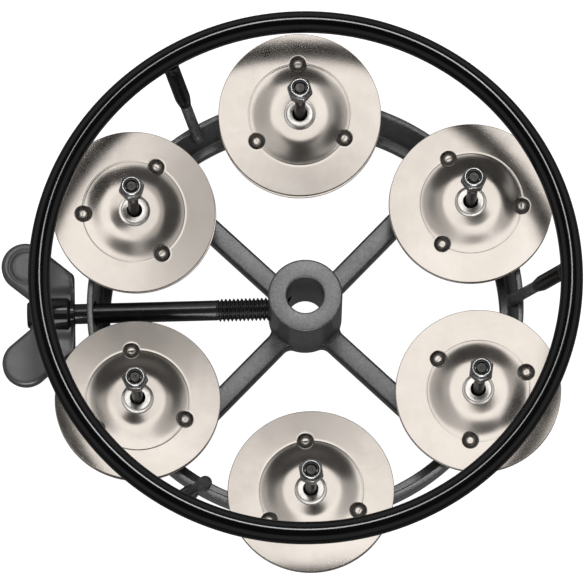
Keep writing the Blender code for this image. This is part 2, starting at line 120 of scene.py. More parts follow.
# Setting
FLOOR_REACH, FLOOR_LEVEL = 6000.0, -0.2
# Greys of the surroundings by a direction's height: 0 at the horizon and below, 1 straight up.
WORLD_LEVELS = ((0.0, 0.12), (0.02, 0.50), (0.60, 0.52), (0.74, 0.05), (1.0, 0.02))
CAMERA_SPOT, CAMERA_TURN = (-11.692, -311.841, 1092.339), (16.2877, 0.0073, -1.5682)   # mm, degrees
CAMERA_LENS, CAMERA_SENSOR = 277.397, 36.0


# ---------------------------------------------------------------- mesh tools

class Shell:
    """Points in millimetres and faces, gathered from several closed bodies."""

    def __init__(self):
        self.points = []
        self.faces = []

    def add(self, body, matrix=None):
        points, faces = body
        offset = len(self.points)
        for point in points:
            point = Vector(point)
            self.points.append(matrix @ point if matrix is not None else point)
        self.faces.extend([tuple(index + offset for index in face) for face in faces])
        return self

    def mesh(self, name):
        mesh = bpy.data.meshes.new(name)
        mesh.from_pydata([tuple(point * MM) for point in self.points], [], self.faces)
        work = bmesh.new()
        work.from_mesh(mesh)
        bmesh.ops.recalc_face_normals(work, faces=work.faces)
        work.to_mesh(mesh)
        work.free()
        return mesh


def body_of_mesh(mesh):
    """The points in millimetres and the faces of a mesh."""
    return [vertex.co / MM for vertex in mesh.vertices], [tuple(face.vertices) for face in mesh.polygons]


def grid(rows, close_rows=False, close_columns=True):
    """A sheet of quads over rows of points, all rows of one length."""
    count = len(rows[0])
    points = [point for row in rows for point in row]
    faces = []
    for i in range(len(rows) if close_rows else len(rows) - 1):
        below = (i + 1) % len(rows)
        for j in range(count if close_columns else count - 1):
            beside = (j + 1) % count
            faces.append((i * count + j, i * count + beside, below * count + beside, below * count + j))
    return points, faces


def capped(rows):
    """A tube over rows of equal length, closed by one face at each end."""
    points, faces = grid(rows)
    count = len(rows[0])
    last = (len(rows) - 1) * count
    faces.append(tuple(range(count)))
    faces.append(tuple(last + i for i in range(count)))
    return points, faces


def polar(radius, turn):
    """The point at a radius and an angle in radians."""
    return radius * math.cos(turn), radius * math.sin(turn)


def circle(radius, height, steps):
    """A level row of points."""
    return [(*polar(radius, math.tau * i / steps), height) for i in range(steps)]


def hexagonal(half, limit, height, steps):
    """A level row of points round a hexagon, held in by a circle of the limit's radius."""
    row = []
    for k in range(steps):
        turn = math.tau * k / steps
        reach = half / math.cos((turn + math.pi / 6) % (math.pi / 3) - math.pi / 6)
        row.append((*polar(min(reach, limit), turn), height))
    return row


def revolved(profile, steps, closed=False):
    """A body turned about Z. A closed profile makes a ring, an open one a solid with two flat ends."""
    rows = [circle(radius, height, steps) for radius, height in profile]
    return grid(rows, close_rows=True) if closed else capped(rows)


def rounded(corners, segments=5):
    """Turn a polygon of (x, y, corner radius) into points, each corner an arc."""
    points = []
    for i, (x, y, radius) in enumerate(corners):
        if radius <= 0.0:
            points.append((x, y))
            continue
        corner = Vector((x, y))
        before = Vector(corners[i - 1][:2]) - corner
        after = Vector(corners[(i + 1) % len(corners)][:2]) - corner
        reach = 0.49 * min(before.length, after.length)
        half = before.angle(after) / 2
        cut = min(radius / math.tan(half), reach)
        radius = cut * math.tan(half)
        before.normalize()
        after.normalize()
        centre = corner + (before + after).normalized() * (radius / math.sin(half))
        start, end = corner + before * cut - centre, corner + after * cut - centre
        turn = math.atan2(start.x * end.y - start.y * end.x, start.dot(end))
        for k in range(segments + 1):
            spot = centre + Matrix.Rotation(turn * k / segments, 2) @ start
            points.append((spot.x, spot.y))
    return points


def smooth_path(knots, per_span=6):
    """Points of a Catmull-Rom curve through knots, each a tuple of numbers."""
    points = []
    for i in range(len(knots) - 1):
        a, b, c, d = (knots[max(0, min(len(knots) - 1, i + k))] for k in (-1, 0, 1, 2))
        for step in range(per_span):
            t = step / per_span
            points.append(tuple(
                0.5 * (2 * q + (r - p) * t + (2 * p - 5 * q + 4 * r - s) * t * t
                       + (3 * q - p - 3 * r + s) * t ** 3)
                for p, q, r, s in zip(a, b, c, d)))
    points.append(knots[-1])
    return points


def swept(path, sides=24):
    """A round bar along (point, radius) pairs that lie in one upright plane."""
    rows = []
    for i, (point, radius) in enumerate(path):
        ahead = (path[min(i + 1, len(path) - 1)][0] - path[max(i - 1, 0)][0]).normalized()
        side = ahead.cross(UP).normalized()
        other = side.cross(ahead)
        rows.append([
            point + radius * (side * math.cos(math.tau * k / sides) + other * math.sin(math.tau * k / sides))
            for k in range(sides)])
    return capped(rows)


def smoothstep(low, high, value):
    """A smooth rise from 0 at the low value to 1 at the high one."""
    t = max(0.0, min(1.0, (value - low) / (high - low)))
    return t * t * (3 - 2 * t)


def along_screw():
    """Turns a body made along +Z so that it runs along -X at the clamp screw's height."""
    return Matrix.Translation((0.0, 0.0, SCREW_Z)) @ Matrix.Rotation(-math.pi / 2, 4, "Y")


def cut(body, cutters):
    """Boolean difference of one body and several closed cutters, as a body."""
    base = bpy.data.objects.new("cut_base", Shell().add(body).mesh("cut_base"))
    bpy.context.collection.objects.link(base)
    tools = []
    for cutter in cutters:
        tool = bpy.data.objects.new("cut_tool", Shell().add(cutter).mesh("cut_tool"))
        bpy.context.collection.objects.link(tool)
        step = base.modifiers.new("cut", "BOOLEAN")
        step.operation = "DIFFERENCE"
        step.solver = "EXACT"
        step.object = tool
        tools.append(tool)
    evaluated = base.evaluated_get(bpy.context.evaluated_depsgraph_get())
    result = body_of_mesh(evaluated.data)
    for item in (base, *tools):
        bpy.data.objects.remove(item, do_unlink=True)
    return result


def moved(body, matrix):
    """A body put through a matrix."""
    points, faces = body
    return [matrix @ Vector(point) for point in points], faces


DULL_PIECES = []   # every piece that isn't nickel


def piece(name, shell, surface, body, node, slot, sharp=32):
    """Make one piece of the object, give it to a CAD body, and let it stand for a CAD node."""
    item = bpy.data.objects.new(name, shell.mesh(name))
    bpy.context.collection.objects.link(item)
    item.data.materials.append(surface)
    item.data.shade_smooth()
    item.data.set_sharp_from_angle(angle=math.radians(sharp))
    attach(item, body)
    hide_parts(node)
    if "nickel" not in slot:
        DULL_PIECES.append(item)
    return item


# ---------------------------------------------------------------- materials

class Surface:
    """A node material built round one Principled shader, with coordinates in metres."""

    def __init__(self, name, metallic=0.0, specular=0.5, coat=0.0, coat_roughness=0.1):
        self.material = bpy.data.materials.new(name)
        self.material.use_nodes = True
        self.tree = self.material.node_tree
        self.shader = self.tree.nodes["Principled BSDF"]
        self.shader.inputs["Metallic"].default_value = metallic
        self.shader.inputs["Specular IOR Level"].default_value = specular
        self.shader.inputs["Coat Weight"].default_value = coat
        self.shader.inputs["Coat Roughness"].default_value = coat_roughness
        self.place = self.tree.nodes.new("ShaderNodeTexCoord").outputs["Object"]
        self.normal = None

    def link(self, start, end):
        self.tree.links.new(start, end)

    def noise(self, scale, detail=3.0, roughness=0.55, distortion=0.0, place=None):
        node = self.tree.nodes.new("ShaderNodeTexNoise")
        node.inputs["Scale"].default_value = scale
        node.inputs["Detail"].default_value = detail
        node.inputs["Roughness"].default_value = roughness
        node.inputs["Distortion"].default_value = distortion
        self.link(place or self.place, node.inputs["Vector"])
        return node.outputs["Fac"]

    def ramp(self, factor, stops):
        """Blend between colours or grey levels at the given factors."""
        node = self.tree.nodes.new("ShaderNodeValToRGB")
        elements = node.color_ramp.elements
        while len(elements) < len(stops):
            elements.new(0.5)
        for element, (at, value) in zip(elements, stops):
            element.position = at
            element.color = (*value, 1.0) if isinstance(value, tuple) else (value, value, value, 1.0)
        self.link(factor, node.inputs["Fac"])
        return node.outputs["Color"]

    def range(self, factor, low, high, start=0.3, end=0.7):
        node = self.tree.nodes.new("ShaderNodeMapRange")
        for socket, value in (("From Min", start), ("From Max", end), ("To Min", low), ("To Max", high)):
            node.inputs[socket].default_value = value
        self.link(factor, node.inputs["Value"])
        return node.outputs["Result"]

    def stretched(self, scale):
        node = self.tree.nodes.new("ShaderNodeMapping")
        node.inputs["Scale"].default_value = scale
        self.link(self.place, node.inputs["Vector"])
        return node.outputs["Vector"]

    def colour(self, output):
        self.link(output, self.shader.inputs["Base Color"])

    def rough(self, output):
        self.link(output, self.shader.inputs["Roughness"])

    def bump(self, height, strength, depth):
        """Add one more layer of relief, its depth in millimetres."""
        node = self.tree.nodes.new("ShaderNodeBump")
        node.inputs["Strength"].default_value = strength
        node.inputs["Distance"].default_value = depth * MM
        self.link(height, node.inputs["Height"])
        if self.normal is not None:
            self.link(self.normal, node.inputs["Normal"])
        self.normal = node.outputs["Normal"]
        self.link(self.normal, self.shader.inputs["Normal"])


def cast_black():
    """Satin black powder coat with a fine grain and faint rubbed patches."""
    made = Surface("cast_black_coat", specular=1.0, coat=0.55, coat_roughness=0.3)
    grain = made.noise(1500.0, 2.0, 0.6)
    cloud = made.noise(70.0, 4.0, 0.6)
    speckle = made.noise(1500.0, 3.0)
    made.colour(made.ramp(speckle, [(0.38, (0.008, 0.008, 0.0085)), (0.62, (0.060, 0.060, 0.0605))]))
    made.rough(made.range(cloud, 0.34, 0.44))
    made.bump(cloud, 0.15, 0.04)
    made.bump(grain, 0.80, 0.03)
    return made.material


def gloss_black():
    """Deep gloss lacquer with a very slight orange peel and hairline scuffs."""
    made = Surface("gloss_black_lacquer", specular=0.24, coat=0.22, coat_roughness=0.05)
    speckle = made.noise(45.0, 3.0)
    made.colour(made.ramp(speckle, [(0.35, (0.004, 0.004, 0.0045)), (0.7, (0.008, 0.008, 0.0085))]))
    scuffs = made.noise(160.0, 6.0, 0.7, 0.4)
    made.rough(made.range(scuffs, 0.10, 0.19, 0.35, 0.75))
    made.bump(made.noise(420.0, 1.0, 0.4), 0.12, 0.02)
    return made.material


def screw_black():
    """Black oxide on turned and rolled steel."""
    made = Surface("screw_black_oxide", metallic=0.2, specular=0.8)
    speckle = made.noise(300.0, 4.0)
    made.colour(made.ramp(speckle, [(0.3, (0.013, 0.013, 0.014)), (0.75, (0.030, 0.030, 0.031))]))
    turned_marks = made.noise(140.0, 3.0, 0.6, 0.0, made.stretched((14.0, 1.0, 1.0)))
    made.rough(made.range(turned_marks, 0.20, 0.27))
    made.bump(turned_marks, 0.15, 0.012)
    return made.material


def grip_black():
    """Satin black paint on the cast grip, a little worn and dusty."""
    made = Surface("grip_black_paint", specular=1.0, coat=0.3, coat_roughness=0.3)
    cloud = made.noise(120.0, 4.0, 0.6)
    made.colour(made.ramp(cloud, [(0.3, (0.022, 0.022, 0.0225)), (0.7, (0.036, 0.036, 0.0365))]))
    made.rough(made.range(made.noise(260.0, 4.0, 0.6), 0.36, 0.46))
    made.bump(cloud, 0.12, 0.05)
    made.bump(made.noise(3000.0, 2.0, 0.6), 0.25, 0.015)
    return made.material


def nickel():
    """Satin nickel plate: fine blasted grain, smudges and slightly warmer, duller patches."""
    made = Surface("satin_nickel", metallic=1.0)
    cloud = made.noise(60.0, 4.0, 0.6, 0.6)
    fine = made.noise(3600.0, 2.0, 0.65)
    made.colour(made.ramp(cloud, [(0.3, (0.610, 0.555, 0.500)), (0.7, (0.680, 0.624, 0.570))]))
    made.rough(made.range(made.noise(140.0, 5.0, 0.65), 0.16, 0.21))
    made.bump(made.noise(90.0, 1.0, 0.5), 0.04, 0.03)
    made.bump(fine, 0.10, 0.006)
    return made.material


def painted_shade_nickel():
    """The same plate, painted dark on the walls of the pressed dimples as shade."""
    made = Surface("painted_shade_nickel", metallic=1.0)
    speckle = made.noise(1100.0, 4.0)
    made.colour(made.ramp(speckle, [(0.3, (0.060, 0.054, 0.049)), (0.7, (0.150, 0.136, 0.122))]))
    made.rough(made.range(made.noise(1500.0, 4.0), 0.24, 0.38))
    made.bump(made.noise(2600.0, 2.0), 0.15, 0.01)
    return made.material


def bright_nickel():
    """Bright nickel on the rolled eyelets, with tooling rings."""
    made = Surface("bright_nickel", metallic=1.0)
    speckle = made.noise(220.0, 4.0)
    made.colour(made.ramp(speckle, [(0.3, (0.72, 0.680, 0.635)), (0.7, (0.83, 0.800, 0.765))]))
    made.rough(made.range(made.noise(700.0, 4.0), 0.14, 0.24))
    made.bump(made.noise(1400.0, 3.0), 0.20, 0.02)
    return made.material


def zinc():
    """Dull dark zinc plate on the nuts, scratched by spanners."""
    made = Surface("zinc_plate", metallic=1.0)
    speckle = made.noise(800.0, 5.0, 0.65)
    made.colour(made.ramp(speckle, [(0.3, (0.16, 0.165, 0.165)), (0.7, (0.33, 0.335, 0.33))]))
    made.rough(made.range(made.noise(1500.0, 4.0), 0.22, 0.36))
    made.bump(made.noise(2400.0, 3.0), 0.25, 0.02)
    return made.material


def painted_highlight_zinc():
    """Rolled lip of each nut's collar, painted brighter than the nut as a highlight."""
    made = Surface("zinc_lip_highlight", metallic=1.0)
    speckle = made.noise(900.0, 4.0)
    made.colour(made.ramp(speckle, [(0.3, (0.42, 0.43, 0.42)), (0.7, (0.58, 0.58, 0.57))]))
    made.rough(made.range(made.noise(1600.0, 4.0), 0.18, 0.28))
    made.bump(made.noise(2600.0, 2.0), 0.2, 0.015)
    return made.material


def pin_black():
    """Dark oxide on the pins."""
    made = Surface("pin_dark_oxide", metallic=0.6, specular=0.5)
    speckle = made.noise(700.0, 4.0)
    made.colour(made.ramp(speckle, [(0.3, (0.020, 0.019, 0.018)), (0.7, (0.050, 0.047, 0.044))]))
    made.rough(made.range(made.noise(900.0, 4.0), 0.28, 0.42))
    made.bump(made.noise(1800.0, 3.0), 0.25, 0.02)
    return made.material


def nylon():
    """Dark nylon locking ring."""
    made = Surface("dark_nylon", specular=0.45)
    speckle = made.noise(900.0, 3.0)
    made.colour(made.ramp(speckle, [(0.3, (0.012, 0.012, 0.013)), (0.7, (0.024, 0.024, 0.026))]))
    made.rough(made.range(made.noise(1200.0, 3.0), 0.38, 0.55))
    made.bump(made.noise(2200.0, 3.0), 0.25, 0.02)
    return made.material


CAST_BLACK, GLOSS_BLACK, SCREW_BLACK, GRIP_BLACK = cast_black(), gloss_black(), screw_black(), grip_black()
NICKEL, BRIGHT_NICKEL, ZINC, ZINC_LIP_HIGHLIGHT = nickel(), bright_nickel(), zinc(), painted_highlight_zinc()
PIN_BLACK, NYLON, PAINTED_SHADE_NICKEL = pin_black(), nylon(), painted_shade_nickel()


# ---------------------------------------------------------------- frame casting

def station_spots():
    """Number and foot of each pin, read from the CAD."""
    for number in STATIONS:
        low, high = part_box(f"jingle_pin_{number}")
        yield number, Vector(((low[0] + high[0]) / 2, (low[1] + high[1]) / 2, 0.0)) / MM


def post_axis(angle):
    """Foot, direction and socket mouth of one post, and the way out from the hub."""
    turn = math.radians(angle)
    outward = Vector((math.cos(turn), math.sin(turn), 0.0))
    foot = outward * POST_FOOT[0] + UP * POST_FOOT[1]
    ring_centre = outward * STRIKER_RADIUS + UP * STRIKER_Z
    direction = (ring_centre - foot).normalized()
    return foot, direction, ring_centre - direction * (SOCKET_LENGTH + STRIKER_TUBE_RADIUS), outward


def screw_hole(start, end, steps):
    """A cutter along the clamp screw, between two distances from the hub's axis."""
    return moved(revolved(((SCREW_HOLE_RADIUS, start), (SCREW_HOLE_RADIUS, end)), steps), along_screw())


def rim_body():
    """L-shaped ring with soft cast edges, bored for the screw and the pins."""
    profile = rounded((
        (RIM_INNER_TOP, RIM_HEIGHT, 0.42),
        (RIM_OUTER_TOP, RIM_HEIGHT, 0.42),
        (RIM_OUTER_BOTTOM, 0.0, 0.55),
        (LEDGE_INNER, 0.0, 0.35),
        (LEDGE_INNER, LEDGE_HEIGHT, 0.45),
        (RIM_INNER_BOTTOM, LEDGE_HEIGHT, 0.6),
    ), 6)
    cutters = [screw_hole(45.0, 60.0, 64)]
    for _, spot in station_spots():
        hole = revolved((
            (PIN_RECESS_RADIUS + 0.25, -1.0),
            (PIN_RECESS_RADIUS + 0.25, 0.0),
            (PIN_RECESS_RADIUS, 0.25),
            (PIN_RECESS_RADIUS, PIN_RECESS_TOP),
            (PIN_HOLE_RADIUS, PIN_RECESS_TOP),
            (PIN_HOLE_RADIUS, 6.0),
        ), 40)
        cutters.append(moved(hole, Matrix.Translation(spot)))
    return cut(revolved(profile, 288, closed=True), cutters)


def hub_body():
    """The bored hub, with a cross hole on the clamp screw's side."""
    profile = rounded((
        (HUB_BORE_RADIUS, HUB_HEIGHT, 0.45),
        (HUB_RADIUS, HUB_HEIGHT, 0.5),
        (HUB_RADIUS, 1.2, 0.5),
        (HUB_RADIUS - 1.2, 0.0, 0.4),
        (HUB_BORE_RADIUS, 0.0, 0.4),
    ), 6)
    return cut(revolved(profile, 128, closed=True), [screw_hole(0.0, 15.0, 48)])


def spoke_body(angle):
    """A soft-edged bar that flares into the hub and, less, into the rim's ledge."""
    inner, outer = HUB_RADIUS - 2.2, RIM_INNER_BOTTOM + 0.6
    fillet = SPOKE_HUB_FILLET
    # The fillet's arc leaves the spoke's side at one reach and meets the round hub at another.
    tangent = math.sqrt((HUB_RADIUS + fillet) ** 2 - (SPOKE_WIDTH / 2 + fillet) ** 2)
    touch = tangent * HUB_RADIUS / (HUB_RADIUS + fillet)
    stops = sorted({inner, outer, *(touch + (tangent - touch) * k / 12 for k in range(13)),
                    *(LEDGE_INNER - 2.4 + 0.3 * k for k in range(10)),
                    *(14.0 + 4.0 * k for k in range(9))})
    rows = []
    for reach in stops:
        back = max(0.0, tangent - max(reach, touch))
        near_rim = max(0.0, 1.0 - max(0.0, LEDGE_INNER - reach) / SPOKE_RIM_FLARE)
        flare = fillet - math.sqrt(fillet ** 2 - back ** 2)
        flare += SPOKE_RIM_FLARE * (1 - math.sqrt(1 - min(1.0, near_rim) ** 2))
        half = SPOKE_WIDTH / 2 + min(flare, 2.0)
        lift = SPOKE_HUB_LIFT * smoothstep(0.0, tangent - touch, back)
        section = rounded((
            (-half, SPOKE_BOTTOM, 0.5), (half, SPOKE_BOTTOM, 0.5),
            (half, SPOKE_TOP + lift, 0.75), (-half, SPOKE_TOP + lift, 0.75)), 5)
        rows.append([(reach, side, height) for side, height in section])
    return moved(capped(rows), Matrix.Rotation(math.radians(angle), 4, "Z"))


def boss_body(spot):
    """A round boss with a stepped hole for the pin and its head."""
    profile = rounded((
        (PIN_HOLE_RADIUS, BOSS_TOP, 0.2),
        (BOSS_RADIUS, BOSS_TOP, 0.5),
        (BOSS_RADIUS, BOSS_BOTTOM, 0.3),
        (PIN_RECESS_RADIUS, BOSS_BOTTOM, 0.2),
        (PIN_RECESS_RADIUS, PIN_RECESS_TOP, 0.0),
        (PIN_HOLE_RADIUS, PIN_RECESS_TOP, 0.0),
    ), 5)
    return moved(revolved(profile, 64, closed=True), Matrix.Translation(spot))


def post_body(angle):
    """A bar that grows out of the rim's wall, bends onto its own line and ends in a thin peg."""
    foot, direction, mouth, outward = post_axis(angle)
    length = (mouth - foot).length - 0.3
    knots = [
        (RIM_INNER_BOTTOM + 1.55, 7.6, 0.7),
        (RIM_INNER_BOTTOM + 1.20, 9.2, 1.1),
        (51.85, 11.3, 1.42),
    ]
    for reach in (1.2, 2.6, 5.0):
        spot = foot + direction * reach
        knots.append((spot.dot(outward), spot.z, POST_RADIUS + 0.30 * max(0.0, 1 - (reach - 1.2) / 2.4)))
    path = [(outward * x + UP * z, radius) for x, z, radius in smooth_path(knots, 6)]
    for past, radius in (
            (-0.35, POST_RADIUS),
            (-0.1, POST_RADIUS - 0.08),
            (0.0, POST_RADIUS - 0.3),
            (0.02, PEG_RADIUS),
            (PEG_LENGTH - 0.3, PEG_RADIUS),
            (PEG_LENGTH, PEG_RADIUS - 0.3)):
        path.append((foot + direction * (length + past), radius))
    return swept(path, 32)


def make_frame():
    """One casting: rim, hub, spokes, bosses and posts."""
    shell = Shell().add(rim_body()).add(hub_body())
    for angle in SPOKE_ANGLES:
        shell.add(spoke_body(angle))
    for _, spot in station_spots():
        shell.add(boss_body(spot))
    for angle in POST_ANGLES:
        shell.add(post_body(angle))
    piece("cast_frame", shell, CAST_BLACK, "frame", "frame_casting", "cast_black")


# ---------------------------------------------------------------- striker ring

def make_striker_ring():
    """A round bar bent into a ring."""
    section = circle(STRIKER_TUBE_RADIUS, 0.0, 56)
    profile = [(STRIKER_RADIUS + x, STRIKER_Z + y) for x, y, _ in section]
    piece("ring_tube", Shell().add(revolved(profile, 320, closed=True)), GLOSS_BLACK, "frame", "striker_ring",
          "gloss_black", 80)


def make_sleeves():
    """Sleeves welded under the ring, with a tapered mouth and a small bead at the weld."""
    end = SOCKET_LENGTH + 0.6
    profile = rounded((
        (SOCKET_BORE_RADIUS, 0.0, 0.08),
        (SOCKET_MOUTH_RADIUS, 0.0, 0.15),
        (SOCKET_RADIUS, 2.6, 0.6),
        (SOCKET_RADIUS, SOCKET_LENGTH - 1.55, 0.05),
        (SOCKET_RADIUS - 0.16, SOCKET_LENGTH - 1.4, 0.05),
        (SOCKET_RADIUS - 0.16, SOCKET_LENGTH - 1.2, 0.05),
        (SOCKET_RADIUS + 0.04, SOCKET_LENGTH - 1.0, 0.1),
        (SOCKET_RADIUS + 0.06, SOCKET_LENGTH - 0.5, 0.1),
        (SOCKET_RADIUS + 0.35, end, 0.1),
        (0.6, end, 0.0),
        (0.6, 9.3, 0.0),
        (SOCKET_BORE_RADIUS, 9.3, 0.0),
    ), 4)
    for number, angle in enumerate(POST_ANGLES, start=1):
        _, direction, mouth, _ = post_axis(angle)
        seat = Matrix.Translation(mouth) @ direction.to_track_quat("Z", "Y").to_matrix().to_4x4()
        shell = Shell().add(revolved(profile, 40, closed=True), seat)
        piece(f"ring_sleeve_{number}", shell, GLOSS_BLACK, "frame", f"ring_socket_{number}", "cast_black")


# ---------------------------------------------------------------- clamp screw

def threaded(start, end, pitch, outer, root, steps, rows_per_turn, limit):
    """Rows of a right-hand thread along +Z. limit(height) holds the radius down at the ends."""
    rows = []
    count = int(round((end - start) / pitch * rows_per_turn))
    for i in range(count + 1):
        height = start + (end - start) * i / count
        row = []
        for k in range(steps):
            phase = (height / pitch - k / steps) % 1.0
            flank = abs(phase - 0.5) * 2
            radius = root + (outer - root) * max(0.0, min(1.0, (flank - THREAD_ROOT_FLAT) / THREAD_FLANK))
            row.append((*polar(min(radius, limit(height)), math.tau * k / steps), height))
        rows.append(row)
    return rows


def make_clamp_screw():
    """A rolled M6 thread that runs out into a plain shank, with a coned tip, made along +Z."""

    def limit(height):
        tip = THREAD_RADIUS - 0.9 + max(0.0, height - SCREW_TIP) * 0.9
        return min(THREAD_RADIUS, tip)

    steps = 48
    finished = [circle(1.2, SCREW_TIP, steps)]
    for row in threaded(SCREW_TIP, THREAD_END, THREAD_PITCH, THREAD_RADIUS, THREAD_ROOT, steps, 12, limit):
        fade = smoothstep(THREAD_END - 1.4, THREAD_END - 0.1, row[0][2])
        finished.append([])
        for x, y, z in row:
            scale = (1 - fade) + fade * SHANK_RADIUS / math.hypot(x, y)
            finished[-1].append((x * scale, y * scale, z))
    for height in (THREAD_END + 0.6, 26.0, 34.0, 42.0, 50.0, 57.0, SHANK_END - 0.4):
        finished.append(circle(SHANK_RADIUS, height, steps))
    finished.append(circle(SHANK_RADIUS - 0.4, SHANK_END, steps))
    # The mirror makes this thread wind left-handed. A real M6 thread is right-handed.
    mirrored = Matrix.Diagonal((1.0, -1.0, 1.0, 1.0))
    piece("clamp_rod", Shell().add(capped(finished), along_screw() @ mirrored), SCREW_BLACK, "clamp_screw",
          "clamp_screw", "screw_black", 50)


# ---------------------------------------------------------------- wing grip

def wing_outline():
    """Closed outline of the two-lobed grip: distance outwards from its face, and from the axis."""
    lobe_x, lobe_y = GRIP_LOBE

    def tangent(x, y, side):
        dx, dy = x - lobe_x, y - lobe_y
        return math.atan2(dy, dx) + side * math.acos(GRIP_LOBE_RADIUS / math.hypot(dx, dy))

    start = tangent(0.0, GRIP_CORNER, -1) % math.tau
    end = tangent(*GRIP_WAIST, 1)

    def on_lobe(turn):
        return lobe_x + GRIP_LOBE_RADIUS * math.cos(turn), lobe_y + GRIP_LOBE_RADIUS * math.sin(turn)

    half = rounded(((0.0, 0.0, 0.0), (0.0, GRIP_CORNER, 1.6), (*on_lobe(start), 0.0)), 6)[1:-1]
    steps = 72
    half.extend(on_lobe(start + (end - start) * i / steps) for i in range(steps + 1))
    half.append(GRIP_WAIST)
    return half + [(x, -y) for x, y in reversed(half)]


def evenly(outline, spacing):
    """Points about one spacing apart round a closed outline, its own corners kept."""
    points = []
    for i, start in enumerate(outline):
        end = outline[(i + 1) % len(outline)]
        count = max(1, int(round(math.dist(start, end) / spacing)))
        points.extend(
            (start[0] + (end[0] - start[0]) * k / count, start[1] + (end[1] - start[1]) * k / count)
            for k in range(count))
    return points


def edge_distance(x, y, outline):
    """Distance from a point to a closed outline, negative outside it."""
    best, inside = 1e9, False
    for i, (ax, ay) in enumerate(outline):
        bx, by = outline[(i + 1) % len(outline)]
        dx, dy = bx - ax, by - ay
        t = max(0.0, min(1.0, ((x - ax) * dx + (y - ay) * dy) / (dx * dx + dy * dy)))
        best = min(best, (x - ax - t * dx) ** 2 + (y - ay - t * dy) ** 2)
        if (ay > y) != (by > y) and x < (bx - ax) * (y - ay) / (by - ay) + ax:
            inside = not inside
    return math.sqrt(best) if inside else -math.sqrt(best)


def grip_height(x, y, edge, marked):
    """Half thickness of the wings: rounded edge, thinner towards the face and beside the barrel."""
    inset = max(0.0, GRIP_EDGE_ROUND - edge)
    height = GRIP_HALF - GRIP_EDGE_ROUND + math.sqrt(max(0.0, GRIP_EDGE_ROUND ** 2 - inset ** 2))
    slope = 0.75 * (1 - smoothstep(0.0, 7.5, x)) * (1 - 0.55 * smoothstep(4.5, 9.5, abs(y)))
    valley = 0.55 * (1 - smoothstep(4.3, 7.2, abs(y))) * (1 - smoothstep(6.0, 11.0, x))
    height -= (slope + valley) * smoothstep(0.0, 1.2, edge)
    if marked:
        away = math.hypot(x - GRIP_MARK[0], y - GRIP_MARK[1])
        height -= GRIP_GROOVE_DEPTH * math.exp(-((away - GRIP_GROOVE_RADIUS) / 0.2) ** 2)
        height -= GRIP_STEP_DEPTH * math.exp(-((away - GRIP_STEP_RADIUS) / 0.14) ** 2)
        height += 0.06 * (1 - smoothstep(2.9, 3.4, away))
    return height


def wing_points(border, outline):
    """Points to mesh the wings on: border, bands inside it, the groove's circles and a grid."""
    count = len(border)
    normals = []
    for i in range(count):
        before, after = border[i - 1], border[(i + 1) % count]
        along = Vector((after[0] - before[0], after[1] - before[1])).normalized()
        inward = Vector((-along.y, along.x))
        probe = (border[i][0] + inward.x * 0.05, border[i][1] + inward.y * 0.05)
        normals.append(inward if edge_distance(*probe, outline) > 0 else -inward)
    points = [Vector(point) for point in border]
    for depth in (0.06, 0.2, 0.42, 0.7, 1.0):
        for point, inward in zip(border, normals):
            inner = Vector(point) + inward * depth
            if edge_distance(inner.x, inner.y, outline) > depth - 0.04:
                points.append(inner)
    mark = Vector(GRIP_MARK)
    for radius in (3.3, 3.55, 3.72, GRIP_GROOVE_RADIUS, 4.02, 4.2, 4.42, GRIP_STEP_RADIUS, 4.68):
        for k in range(72):
            turn = math.tau * k / 72
            points.append(mark + radius * Vector((math.cos(turn), math.sin(turn))))
    cells = int(19.0 / GRIP_GRID)
    for i in range(cells):
        for k in range(-cells, cells + 1):
            spot = Vector(((i + 0.5) * GRIP_GRID, k * GRIP_GRID))
            on_circles = abs((spot - mark).length - 4.0) < 0.95
            if not on_circles and edge_distance(*spot, outline) > 1.25:
                points.append(spot)
    return points


def make_wing_grip():
    """The two wings in one, and a stepped barrel through them that holds the screw's end."""
    outline = wing_outline()
    border = evenly(outline, 0.45)
    count = len(border)
    points = wing_points(border, outline)
    edges = [(i, (i + 1) % count) for i in range(count)]
    flat, _, faces, *_ = delaunay_2d_cdt(points, edges, [], 1, 1e-5)
    # The triangulation keeps the border's points first and in order.
    total = len(flat)
    upper, lower = [], []
    for x, y in flat:
        edge = max(0.0, edge_distance(x, y, outline))
        upper.append((-x, y, grip_height(x, y, edge, True)))
        lower.append((-x, y, -grip_height(x, y, edge, False)))
    sheet = [tuple(face) for face in faces]
    sheet += [tuple(index + total for index in reversed(face)) for face in faces]
    wall = [(i, (i + 1) % count, (i + 1) % count + total, i + total) for i in range(count)]
    shell = Shell().add((upper + lower, sheet + wall), Matrix.Translation((-GRIP_FACE, 0.0, SCREW_Z)))

    waist = GRIP_FACE + GRIP_WAIST[0]
    barrel = rounded((
        (GRIP_BORE_RADIUS, GRIP_FACE, 0.12),
        (GRIP_BARREL_RADIUS * 0.8, GRIP_FACE, 0.3),
        (GRIP_BARREL_RADIUS * 0.8, GRIP_FACE + 1.1, 0.2),
        (GRIP_BARREL_RADIUS - 0.1, GRIP_FACE + 1.7, 0.4),
        (GRIP_BARREL_RADIUS, waist - 2.2, 0.8),
        (GRIP_BARREL_RADIUS * 0.72, waist + 0.6, 0.6),
        (GRIP_PLUG_RADIUS, waist + 0.6, 0.0),
        (GRIP_PLUG_RADIUS, SHANK_END + 0.3, 0.0),
        (GRIP_BORE_RADIUS, SHANK_END + 0.3, 0.0),
    ), 5)
    shell.add(revolved(barrel, 72, closed=True), along_screw())
    grip = piece("grip_wings", shell, GRIP_BLACK, "wing_grip", "wing_grip", "grip_black", 40)
    grip.data.materials.append(GLOSS_BLACK)
    for face in grip.data.polygons[len(sheet) + len(wall):]:
        face.material_index = 1


# ---------------------------------------------------------------- jingles

